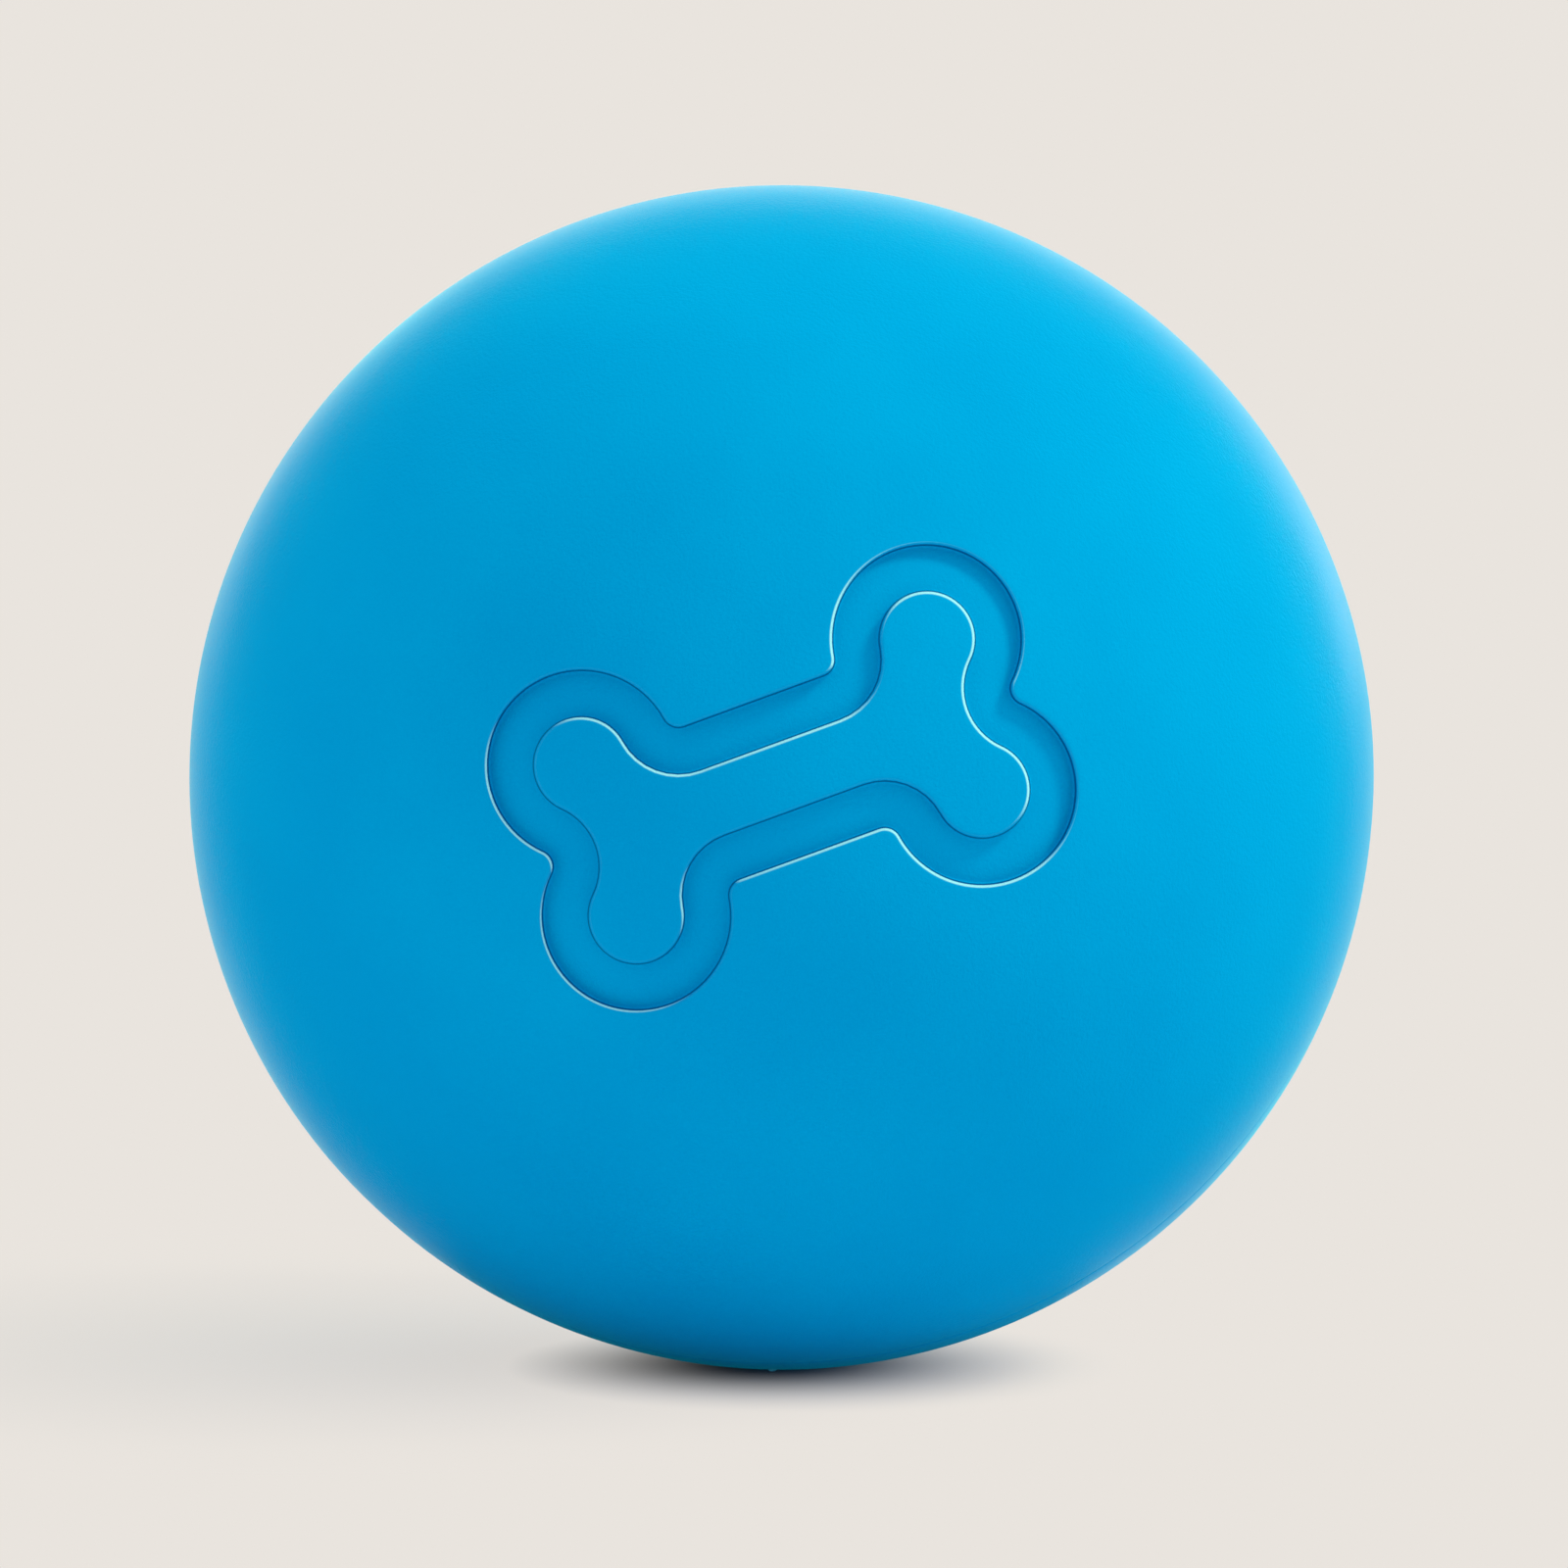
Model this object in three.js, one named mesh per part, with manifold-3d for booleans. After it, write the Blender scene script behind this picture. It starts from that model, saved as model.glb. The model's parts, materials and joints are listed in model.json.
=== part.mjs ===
// A hollow rubber ball for dogs, in millimetres, with +Z up and the origin at the ball's centre.
//
// Two thick rubber half shells are moulded, each with one half of a stepped seam, and cemented together.
// The front half carries a recessed bone outline. The rear half has a moulded pocket behind a small
// vent, and a plastic squeaker is pressed into that pocket from the inside before the halves are closed.
// A bite drives air from the cavity, past a thin brass reed in the squeaker, and out of the vent.
//
// Every round piece is a revolve about one line, the moulding axis, which is local +Y: the front half
// lies at negative Y and the rear half at positive Y. Nested groups then turn that axis to the way
// the ball lies at rest, with its front pole a little up and to the left of straight ahead.
import * as THREE from 'three';
import { mergeVertices } from 'three/addons/utils/BufferGeometryUtils.js';
import Module from 'manifold-3d';

const wasm = await Module();
wasm.setup();

const degrees = THREE.MathUtils.degToRad;

// Ball
const ballRadius = 32;
const wall = 6;

// Stepped seam between the halves
const cementThickness = 0.2;
const tongueWidth = 2.2;
const tongueHeight = 1.6;

// How the ball lies at rest, in degrees
const frontPoleUp = 16.7;
const frontPoleLeft = 4.4;

// Recessed bone outline: four lobes at the corners of a shaft, drawn as one band of even width.
// It is rolled, and faces a little above straight ahead; both are in degrees.
const boneLobeRadius = 4.9;
const boneLobeAlong = 9.4;
const boneLobeAcross = 4.1;
const boneShaftHalfWidth = 4.2;
const boneFillet = 0.8;
const boneBand = 2.5;
const boneDepth = 0.7;
const boneRoll = 20;
const boneUp = 5;

// Squeaker: a cup with a cap let into its open end, inside a thin rim
const squeakerRadius = 10;
const squeakerLength = 11;
const squeakerWall = 1.5;
const squeakerRim = 0.6;
const squeakerFloor = 1.2;
const capThickness = 1.2;
const capHoleRadius = 0.6;
const capHoleEdge = 0.45;
const capHoles = 6;
const plasticFit = 0.15;

// Pocket and vent in the rear half. The skin is the rubber left outside the pocket's corner, the lip
// grips over the squeaker's edge, and its lead is the slope that lets the squeaker be pressed in.
const rubberFit = 0.3;
const ventRadius = 2.9;
const ventMouthRound = 0.9;
const pocketSkin = 2.6;
const pocketCollar = 2.8;
const pocketLip = 1.4;
const pocketLipGrip = 1.1;
const pocketLipLead = 0.7;
const pocketRootRound = 2;

// Reed unit: the reed covers the channel by its overlap on both sides and by what is left of the land
// at its tip. It has play on both faces, and stands off the trough by its lift, in degrees.
const reedUnitRadius = 3;
const reedSocketWall = 1;
const reedClampLength = 3;
const reedThickness = 0.2;
const reedOverlap = 0.6;
const reedPlay = 0.3;
const reedLift = 4.5;
const reedTipLand = 0.6;
const troughTipGap = 0.8;
const troughTipSlant = 30;
const channelRadius = 1.5;
const channelTip = 1;

// Facets of the round faces
const roundSegments = 60;
const outerRings = 14;
const innerRings = 8;
const mouthSteps = 4;
const rootSteps = 5;
const lobeSteps = 14;
const filletSteps = 3;
const floorDetail = 9;
const holeSegments = 12;
const barSegments = 16;
const channelSegments = 12;

// Values that follow from the sizes above
const innerRadius = ballRadius - wall;
const halfCement = cementThickness / 2;
const tongueRadius = ballRadius - wall / 2;
const tongueInner = tongueRadius - tongueWidth / 2;
const tongueOuter = tongueRadius + tongueWidth / 2;
const pocketRadius = squeakerRadius + rubberFit;
const pocketFloorY = Math.sqrt((ballRadius - pocketSkin) ** 2 - pocketRadius ** 2);
const squeakerOuterY = pocketFloorY - rubberFit;
const squeakerInnerY = squeakerOuterY - squeakerLength;
const pocketLipY = squeakerInnerY - rubberFit;
const pocketEndY = pocketLipY - pocketLip;
const reedSocketRadius = reedUnitRadius + plasticFit;
const capRadius = squeakerRadius - squeakerRim - plasticFit;
const capHolePitch = ventRadius - capHoleRadius - capHoleEdge;
const reedUnitLength = squeakerLength - capThickness - troughTipGap;
const reedFreeLength = reedUnitLength - reedClampLength - reedTipLand;
const reedWidth = 2 * (channelRadius + reedOverlap);
const reedSlot = reedThickness + 2 * reedPlay;
const reedPivotY = squeakerInnerY + reedClampLength;

const rubber = new THREE.MeshStandardMaterial({ color: 0x0096d2, roughness: 0.62, metalness: 0 });
const cement = new THREE.MeshStandardMaterial({ color: 0x0072a8, roughness: 0.7, metalness: 0 });
const plastic = new THREE.MeshStandardMaterial({ color: 0xf1efe8, roughness: 0.5, metalness: 0 });
const brass = new THREE.MeshStandardMaterial({ color: 0xc9a550, roughness: 0.3, metalness: 1 });

// Points of an arc round a centre, both ends included
function arcPoints(centreX, centreY, radius, from, to, steps) {
  const points = [];
  for (let i = 0; i <= steps; i++) {
    const a = from + ((to - from) * i) / steps;
    points.push([centreX + radius * Math.cos(a), centreY + radius * Math.sin(a)]);
  }
  return points;
}

// A revolve about local Y of (radius, height) points, which run anticlockwise and close the profile
// on itself or on the axis
function revolve(profile) {
  const points = profile.map(([r, y]) => new THREE.Vector2(Math.max(r, 0), y));
  const onAxis = points[0].x < 1e-9 && points[points.length - 1].x < 1e-9;
  if (!onAxis) points.push(points[0].clone());
  return new THREE.LatheGeometry(points, roundSegments);
}

// A closed three.js geometry as a solid that can be joined and cut
function toSolid(geometry) {
  const bare = geometry.clone();
  bare.deleteAttribute('normal');
  bare.deleteAttribute('uv');
  const merged = mergeVertices(bare, 1e-4);
  const corners = merged.index.array;
  const kept = [];
  for (let i = 0; i < corners.length; i += 3) {
    const [a, b, c] = [corners[i], corners[i + 1], corners[i + 2]];
    if (a !== b && b !== c && c !== a) kept.push(a, b, c);
  }
  return new wasm.Manifold(new wasm.Mesh({
    numProp: 3,
    vertProperties: merged.attributes.position.array,
    triVerts: new Uint32Array(kept),
  }));
}

function toGeometry(solid) {
  const mesh = solid.getMesh();
  const stride = mesh.numProp;
  const positions = new Float32Array(mesh.numVert * 3);
  for (let i = 0; i < mesh.numVert; i++) {
    positions.set(mesh.vertProperties.subarray(i * stride, i * stride + 3), i * 3);
  }
  const geometry = new THREE.BufferGeometry();
  geometry.setAttribute('position', new THREE.BufferAttribute(positions, 3));
  geometry.setIndex(new THREE.BufferAttribute(mesh.triVerts, 1));
  geometry.computeVertexNormals();
  return geometry;
}

// The bone's outline, moved inwards by an inset. Its lobes and the fillets in its hollows are arcs that
// meet smoothly, so an inset only takes from the radius of a lobe and adds to that of a fillet.
function boneOutline(inset) {
  const lobe = boneLobeRadius - inset;
  const fillet = boneFillet + inset;
  const reach = boneLobeRadius + boneFillet;
  const notchX = boneLobeAlong + Math.sqrt(reach ** 2 - boneLobeAcross ** 2);
  const neckY = boneShaftHalfWidth + boneFillet;
  const neckX = boneLobeAlong - Math.sqrt(reach ** 2 - (neckY - boneLobeAcross) ** 2);
  const toNotch = Math.atan2(-boneLobeAcross, notchX - boneLobeAlong);
  const toNeck = Math.atan2(neckY - boneLobeAcross, neckX - boneLobeAlong);
  const quarter = [
    ...arcPoints(notchX, 0, fillet, Math.PI, toNotch + Math.PI, filletSteps),
    ...arcPoints(boneLobeAlong, boneLobeAcross, lobe, toNotch, toNeck, lobeSteps).slice(1),
    ...arcPoints(neckX, neckY, fillet, toNeck - Math.PI, -Math.PI / 2, filletSteps).slice(1),
  ];
  const back = [...quarter].reverse();
  const outline = [
    ...quarter,
    ...back.map(([x, y]) => [-x, y]),
    ...quarter.slice(1).map(([x, y]) => [-x, -y]),
    ...back.slice(0, -1).map(([x, y]) => [x, -y]),
  ];
  return outline.map(([x, y]) => new THREE.Vector2(x, y));
}

// The band between the outline and its inset copy, as one extruded shape along local Z
function boneBandGeometry(from, to) {
  const shape = new THREE.Shape(boneOutline(0));
  shape.holes.push(new THREE.Path(boneOutline(boneBand)));
  const band = new THREE.ExtrudeGeometry(shape, { depth: to - from, bevelEnabled: false });
  band.translate(0, 0, from);
  band.rotateZ(degrees(boneRoll));
  return band;
}

// The half that faces the player: a bowl with a tongue on its rim and the recess in its skin
function frontHalfGeometry(frameToMould) {
  const outerEdge = -Math.asin(halfCement / ballRadius);
  const innerEdge = -Math.asin(halfCement / innerRadius);
  const profile = [
    ...arcPoints(0, 0, ballRadius, -Math.PI / 2, outerEdge, outerRings),
    [tongueOuter, -halfCement],
    [tongueOuter, tongueHeight - halfCement],
    [tongueInner, tongueHeight - halfCement],
    [tongueInner, -halfCement],
    ...arcPoints(0, 0, innerRadius, innerEdge, -Math.PI / 2, innerRings),
  ];
  const bowl = toSolid(revolve(profile));
  // The recess floor is a smaller ball, so the recess is equally deep everywhere on the curved skin
  const floor = toSolid(new THREE.IcosahedronGeometry(ballRadius - boneDepth, floorDetail));
  const band = boneBandGeometry(ballRadius / 2, 1.1 * ballRadius).applyMatrix4(frameToMould);
  return toGeometry(bowl.subtract(toSolid(band).subtract(floor)));
}

// The half with the vent, and behind it the collar that grips the squeaker under an inner lip
function rearHalfGeometry() {
  const outerEdge = Math.asin(halfCement / ballRadius);
  const innerEdge = Math.asin(halfCement / innerRadius);
  const mouthCentreR = ventRadius + ventMouthRound;
  const skinRadius = ballRadius - ventMouthRound;
  const mouthAngle = Math.acos(mouthCentreR / skinRadius);
  const mouthCentreY = skinRadius * Math.sin(mouthAngle);
  const collarRadius = pocketRadius + pocketCollar;
  const rootCentreR = collarRadius + pocketRootRound;
  const rootShell = innerRadius - pocketRootRound;
  const rootAngle = Math.acos(rootCentreR / rootShell);
  const rootCentreY = rootShell * Math.sin(rootAngle);
  const lipRadius = squeakerRadius - pocketLipGrip;
  const profile = [
    ...arcPoints(0, 0, ballRadius, outerEdge, mouthAngle, outerRings),
    ...arcPoints(mouthCentreR, mouthCentreY, ventMouthRound, mouthAngle, Math.PI, mouthSteps).slice(1),
    [ventRadius, pocketFloorY],
    [pocketRadius, pocketFloorY],
    [pocketRadius, pocketLipY],
    [lipRadius, pocketLipY],
    [lipRadius + pocketLipLead, pocketEndY],
    [collarRadius, pocketEndY],
    ...arcPoints(rootCentreR, rootCentreY, pocketRootRound, Math.PI, rootAngle, rootSteps),
    ...arcPoints(0, 0, innerRadius, rootAngle, innerEdge, innerRings).slice(1),
    [tongueInner - cementThickness, halfCement],
    [tongueInner - cementThickness, tongueHeight + halfCement],
    [tongueOuter + cementThickness, tongueHeight + halfCement],
    [tongueOuter + cementThickness, halfCement],
  ];
  return revolve(profile);
}

// The cured film of rubber cement, which fills the step between the two rims
function cementGeometry() {
  const outer = Math.sqrt(ballRadius * ballRadius - halfCement * halfCement);
  const inner = Math.sqrt(innerRadius * innerRadius - halfCement * halfCement);
  const low = -halfCement;
  const high = halfCement;
  return revolve([
    [outer, low],
    [outer, high],
    [tongueOuter + cementThickness, high],
    [tongueOuter + cementThickness, tongueHeight + high],
    [tongueInner - cementThickness, tongueHeight + high],
    [tongueInner - cementThickness, high],
    [inner, high],
    [inner, low],
    [tongueInner, low],
    [tongueInner, tongueHeight + low],
    [tongueOuter, tongueHeight + low],
    [tongueOuter, low],
  ]);
}

// The squeaker's cup: its floor faces the cavity and holds the reed unit in a short socket
function squeakerCupGeometry() {
  const bore = squeakerRadius - squeakerWall;
  const seat = squeakerRadius - squeakerRim;
  const seatY = squeakerOuterY - capThickness - plasticFit;
  const floorY = squeakerInnerY + squeakerFloor;
  const socketOuter = reedSocketRadius + reedSocketWall;
  return revolve([
    [reedSocketRadius, squeakerInnerY],
    [squeakerRadius, squeakerInnerY],
    [squeakerRadius, squeakerOuterY],
    [seat, squeakerOuterY],
    [seat, seatY],
    [bore, seatY],
    [bore, floorY],
    [socketOuter, floorY],
    [socketOuter, squeakerInnerY + reedClampLength],
    [reedSocketRadius, squeakerInnerY + reedClampLength],
  ]);
}

// The cap that shows through the vent: a disc with one hole in the middle and a ring of holes round it
function squeakerCapGeometry() {
  const disc = new THREE.CylinderGeometry(capRadius, capRadius, capThickness, roundSegments);
  let cap = toSolid(disc);
  const centres = [[0, 0]];
  for (let i = 0; i < capHoles; i++) {
    const a = (i * 2 * Math.PI) / capHoles;
    centres.push([capHolePitch * Math.cos(a), capHolePitch * Math.sin(a)]);
  }
  centres.forEach(([x, z]) => {
    const drill = new THREE.CylinderGeometry(capHoleRadius, capHoleRadius, 3 * capThickness, holeSegments);
    cap = cap.subtract(toSolid(drill.translate(x, 0, z)));
  });
  return toGeometry(cap);
}

// A bar of D-shaped section along local Y from 0 to a length. Its flat lies reedSlot / 2 from the
// moulding axis, on the side given by sign, and its round side fits the reed socket.
function dBarGeometry(length, sign) {
  const flat = reedSlot / 2;
  const open = Math.asin(flat / reedUnitRadius);
  const shape = new THREE.Shape();
  shape.absarc(0, 0, reedUnitRadius, open, Math.PI - open, false);
  shape.closePath();
  const bar = new THREE.ExtrudeGeometry(shape, {
    depth: length,
    bevelEnabled: false,
    curveSegments: barSegments,
  });
  return bar.rotateX(-Math.PI / 2).rotateY(sign > 0 ? Math.PI : 0);
}

// The trough: the lower half of the reed unit, with an air channel that stops short of its tip.
// The tip is cut back at a slant, as on every reed of this kind.
function reedTroughGeometry() {
  const bar = toSolid(dBarGeometry(reedUnitLength, -1));
  const channelLength = reedUnitLength - channelTip;
  const channelRings = channelSegments / 2;
  const channel = new THREE.CapsuleGeometry(channelRadius, 2 * channelLength, channelRings, channelSegments);
  channel.translate(0, -channelRadius, -reedSlot / 2);
  const slant = new THREE.BoxGeometry(3 * reedUnitRadius, reedUnitRadius, 4 * reedUnitRadius);
  slant.translate(0, reedUnitRadius / 2, 0);
  slant.rotateX(degrees(-troughTipSlant));
  slant.translate(0, reedUnitLength, -reedSlot / 2 - reedUnitRadius / 3);
  return toGeometry(bar.subtract(toSolid(channel)).subtract(toSolid(slant)));
}

// The reed: a flat root under the clamp and a free tongue that stands a little off the trough
function reedGeometry() {
  const half = reedThickness / 2;
  const lift = degrees(reedLift);
  const tip = [reedFreeLength * Math.cos(lift), reedFreeLength * Math.sin(lift)];
  const side = new THREE.Shape();
  side.moveTo(-reedClampLength, -half);
  side.lineTo(0, -half);
  side.lineTo(tip[0], tip[1] - half);
  side.lineTo(tip[0], tip[1] + half);
  side.lineTo(0, half);
  side.lineTo(-reedClampLength, half);
  side.closePath();
  const strip = new THREE.ExtrudeGeometry(side, { depth: reedWidth, bevelEnabled: false });
  // Shape x becomes local Y, along the reed, and shape y becomes local Z, away from the trough
  strip.translate(0, 0, -reedWidth / 2);
  return strip.applyMatrix4(new THREE.Matrix4().makeBasis(
    new THREE.Vector3(0, 1, 0), new THREE.Vector3(0, 0, 1), new THREE.Vector3(1, 0, 0),
  ));
}

function piece(name, geometry, material, y = 0) {
  const mesh = new THREE.Mesh(geometry, material);
  mesh.name = name;
  mesh.position.y = y;
  return mesh;
}

// The moulding axis at rest: turned up about X first, then to the left about Z
const ball = new THREE.Group();
const turnedLeft = new THREE.Group();
turnedLeft.rotation.z = degrees(-frontPoleLeft);
const mould = new THREE.Group();
mould.rotation.x = degrees(-frontPoleUp);
turnedLeft.add(mould);
ball.add(turnedLeft);
ball.updateMatrixWorld(true);

// The recess faces straight ahead and a little up, whichever way the moulding axis points
const boneFrame = new THREE.Matrix4().makeRotationX(degrees(90 - boneUp));
const boneToMould = mould.matrixWorld.clone().invert().multiply(boneFrame);

mould.add(
  piece('front_half_shell', frontHalfGeometry(boneToMould), rubber),
  piece('rear_half_shell', rearHalfGeometry(), rubber),
  piece('seam_cement', cementGeometry(), cement),
  piece('squeaker_cup', squeakerCupGeometry(), plastic),
  piece('squeaker_cap', squeakerCapGeometry(), plastic, squeakerOuterY - capThickness / 2),
  piece('reed_trough', reedTroughGeometry(), plastic, squeakerInnerY),
  piece('reed_clamp', dBarGeometry(reedClampLength, 1), plastic, squeakerInnerY),
  piece('reed_tongue', reedGeometry(), brass, reedPivotY),
);

export default ball;
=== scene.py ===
# %% [markdown]
# # A rubber ball for dogs
#
# The ball is moulded in two thick rubber halves, which are cemented together along a stepped seam.
# A recessed outline decorates the front half, and a small plastic squeaker sits in a pocket behind
# a vent in the rear half.
#
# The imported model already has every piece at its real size, but its round faces are faceted. This
# lesson builds smooth pieces in the same places, gives each one its finish, and then sets the light
# and the camera. Everything is in metres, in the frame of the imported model.

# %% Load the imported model
import json
import math

import bmesh
import bpy
import numpy as np
from mathutils import Matrix, Vector
from mathutils.geometry import delaunay_2d_cdt

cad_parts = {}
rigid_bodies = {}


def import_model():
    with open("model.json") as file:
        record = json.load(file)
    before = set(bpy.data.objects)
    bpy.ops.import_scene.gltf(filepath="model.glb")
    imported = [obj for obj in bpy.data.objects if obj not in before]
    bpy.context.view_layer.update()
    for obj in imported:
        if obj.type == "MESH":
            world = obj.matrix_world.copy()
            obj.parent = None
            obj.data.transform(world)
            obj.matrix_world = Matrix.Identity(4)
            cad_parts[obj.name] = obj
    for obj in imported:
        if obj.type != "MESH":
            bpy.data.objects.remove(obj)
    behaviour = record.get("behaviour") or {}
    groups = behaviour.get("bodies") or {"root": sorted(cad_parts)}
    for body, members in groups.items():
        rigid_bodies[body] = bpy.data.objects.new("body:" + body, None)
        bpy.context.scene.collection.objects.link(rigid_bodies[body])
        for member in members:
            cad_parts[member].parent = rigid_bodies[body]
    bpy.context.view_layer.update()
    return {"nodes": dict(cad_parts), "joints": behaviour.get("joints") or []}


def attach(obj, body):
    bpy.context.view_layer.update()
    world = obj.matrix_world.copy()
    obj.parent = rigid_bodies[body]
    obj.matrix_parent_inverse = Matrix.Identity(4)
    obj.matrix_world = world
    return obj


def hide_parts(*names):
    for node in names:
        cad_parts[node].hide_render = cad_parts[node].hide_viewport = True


for leftover in list(bpy.data.objects):
    bpy.data.objects.remove(leftover)
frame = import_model()
print("packed nodes:", ", ".join(sorted(frame["nodes"])))

# %% [markdown]
# ## Sizes
#
# A designer keeps the driving sizes in one place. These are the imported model's, each written once
# as a real length in millimetres.

# %% Sizes of the shells and their seam
MM = 0.001
BALL_RADIUS = 32 * MM
WALL = 6 * MM
CEMENT = 0.2 * MM
TONGUE_WIDTH = 2.2 * MM
TONGUE_HEIGHT = 1.6 * MM

inner_radius = BALL_RADIUS - WALL
half_cement = CEMENT / 2
tongue_inner = BALL_RADIUS - WALL / 2 - TONGUE_WIDTH / 2
tongue_outer = BALL_RADIUS - WALL / 2 + TONGUE_WIDTH / 2

# %% Sizes of the squeaker and its pocket
SQUEAKER_RADIUS = 10 * MM
SQUEAKER_LENGTH = 11 * MM
RUBBER_FIT = 0.3 * MM
PLASTIC_FIT = 0.15 * MM
POCKET_SKIN = 2.6 * MM
CLAMP_LENGTH = 3 * MM

pocket_radius = SQUEAKER_RADIUS + RUBBER_FIT
pocket_floor = math.sqrt((BALL_RADIUS - POCKET_SKIN) ** 2 - pocket_radius**2)
squeaker_outer = pocket_floor - RUBBER_FIT
squeaker_inner = squeaker_outer - SQUEAKER_LENGTH
print("squeaker reaches from", round(squeaker_inner / MM, 2), "to", round(squeaker_outer / MM, 2), "mm")

# %% [markdown]
# ## The moulding axis
#
# Every round piece turns about one line through the ball's centre, the moulding axis. On the ball
# at rest that line is tilted, so writing each piece straight in the model's frame would be hard to
# read. Instead each piece is drawn with the moulding axis along Y, and one matrix turns it into
# place. The reed's hinge lies on that axis and turns square to it, so the matrix comes from there.

# %% Work out the matrix from the hinge
hinge = frame["joints"][0]
rear_way = Vector(hinge["pos_m"]).normalized()
side_way = Vector(hinge["axis"]).normalized()
up_way = side_way.cross(rear_way)
MOULD = Matrix((side_way, rear_way, up_way)).transposed().to_4x4()
hinge_along = Vector(hinge["pos_m"]).length
print("hinge to clamp edge in mm:", round((hinge_along - squeaker_inner - CLAMP_LENGTH) / MM, 4))

# %% [markdown]
# ## Drawing sections
#
# A revolved piece is drawn as half of its section, a closed outline of radius and height. Real
# mouldings have no sharp corners, and a small round is what catches the light along an edge. So a
# corner may be given a third value, its radius, and one helper puts the arc in.

# %% Helpers for arcs and rounded corners
def arc(x, y, radius, start, stop, steps):
    """Points of an arc about (x, y), both ends included, with angles in radians."""
    turns = [start + (stop - start) * i / steps for i in range(steps + 1)]
    return [(x + radius * math.cos(a), y + radius * math.sin(a)) for a in turns]


def round_corners(outline, steps=4):
    """Puts an arc at each point that has a third value, its radius. Other points stay."""
    points = []
    for i, corner in enumerate(outline):
        if len(corner) == 2:
            points.append(corner)
            continue
        here, radius = Vector(corner[:2]), corner[2]
        before = (Vector(outline[i - 1][:2]) - here).normalized()
        after = (Vector(outline[(i + 1) % len(outline)][:2]) - here).normalized()
        half = before.angle(after) / 2
        centre = here + (before + after).normalized() * radius / math.sin(half)
        first = (here + before * radius / math.tan(half) - centre) / radius
        last = (here + after * radius / math.tan(half) - centre) / radius
        points += [tuple(centre + first.slerp(last, i / steps) * radius) for i in range(steps + 1)]
    return points


print("a rounded square has", len(round_corners([(0, 0, 1), (9, 0, 1), (9, 9, 1), (0, 9, 1)])), "points")

# %% [markdown]
# ## Geometry Nodes from a script
#
# A tree is only nodes and links. These helpers make the nodes short to write: each input is either
# a value or the socket that feeds it. The result of a tree is baked to a plain mesh at once, because
# the other programs that read this model know nothing of modifiers.

# %% Helpers for trees
CREASE = math.radians(35)


def feed(tree, node, inputs):
    """Sets a node's inputs, each to a value or to the socket that feeds it."""
    for key, value in inputs.items():
        if isinstance(value, bpy.types.NodeSocket):
            tree.links.new(value, node.inputs[key])
        else:
            node.inputs[key].default_value = value


def add(tree, kind, inputs=None, out=0, **settings):
    """Adds a node to a tree, with its inputs and settings, and gives one of its outputs."""
    made = tree.nodes.new(kind)
    for name, value in settings.items():
        setattr(made, name, value)
    feed(tree, made, inputs or {})
    return made.outputs[out]


def math_node(tree, operation, *values):
    """A number worked out by one Math node."""
    return add(tree, "ShaderNodeMath", dict(enumerate(values)), operation=operation)


def times(tree, first, second):
    """The product of two numbers."""
    return math_node(tree, "MULTIPLY", first, second)


def vector(tree, x=0.0, y=0.0, z=0.0):
    """A vector made of three numbers."""
    return add(tree, "ShaderNodeCombineXYZ", {"X": x, "Y": y, "Z": z})


def turned(tree, radius, angle):
    """How far a radius reaches across and upwards when it is turned by an angle."""
    return [times(tree, radius, math_node(tree, way, angle)) for way in ("COSINE", "SINE")]


def new_tree(name, **sizes):
    """A geometry tree with named inputs for its finish and its sizes, which are listed by kind."""
    tree = bpy.data.node_groups.new(name, "GeometryNodeTree")
    inputs = [("Geometry", "Geometry"), ("Finish", "Material")]
    inputs += [(label, kind) for kind, labels in sizes.items() for label in labels]
    for label, kind in inputs:
        tree.interface.new_socket(label, in_out="INPUT", socket_type="NodeSocket" + kind)
    tree.interface.new_socket("Geometry", in_out="OUTPUT", socket_type="NodeSocketGeometry")
    return tree, tree.nodes.new("NodeGroupInput").outputs, tree.nodes.new("NodeGroupOutput").inputs


def finish_tree(tree, geometry, given, made):
    """Every tree ends in the same way: its instances made real, and its finish."""
    real = add(tree, "GeometryNodeRealizeInstances", {"Geometry": geometry})
    finish = {"Geometry": real, "Material": given["Finish"]}
    tree.links.new(add(tree, "GeometryNodeSetMaterial", finish), made["Geometry"])


def new_object(name, data):
    """A new object in the scene, at the origin."""
    made = bpy.data.objects.new(name, data)
    bpy.context.scene.collection.objects.link(made)
    return made


def mesh_object(name, points, faces=()):
    """A new object with a plain mesh."""
    mesh = bpy.data.meshes.new(name)
    mesh.from_pydata([tuple(p) for p in points], [], faces)
    return new_object(name, mesh)


def grow(piece, tree, sizes):
    """Runs a tree on a piece and keeps the result as the piece's own plain mesh."""
    modifier = piece.modifiers.new(tree.name, "NODES")
    modifier.node_group = tree
    for item in tree.interface.items_tree:
        if item.in_out == "INPUT" and item.name in sizes:
            modifier[item.identifier] = sizes[item.name]
    evaluated = piece.evaluated_get(bpy.context.evaluated_depsgraph_get())
    mesh = bpy.data.meshes.new_from_object(evaluated)
    piece.modifiers.clear()
    piece.data = mesh
    mesh.name = piece.name
    return piece


def volume(piece):
    """A line on a piece: its volume, positive when its faces point out, and its open edges."""
    shape = bmesh.new()
    shape.from_mesh(piece.data)
    measured = shape.calc_volume(signed=True) / MM**3
    open_edges = sum(1 for edge in shape.edges if len(edge.link_faces) != 2)
    shape.free()
    return f"{piece.name}: {measured:.1f} mm3, {open_edges} open edges, {len(piece.data.polygons)} faces"


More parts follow.
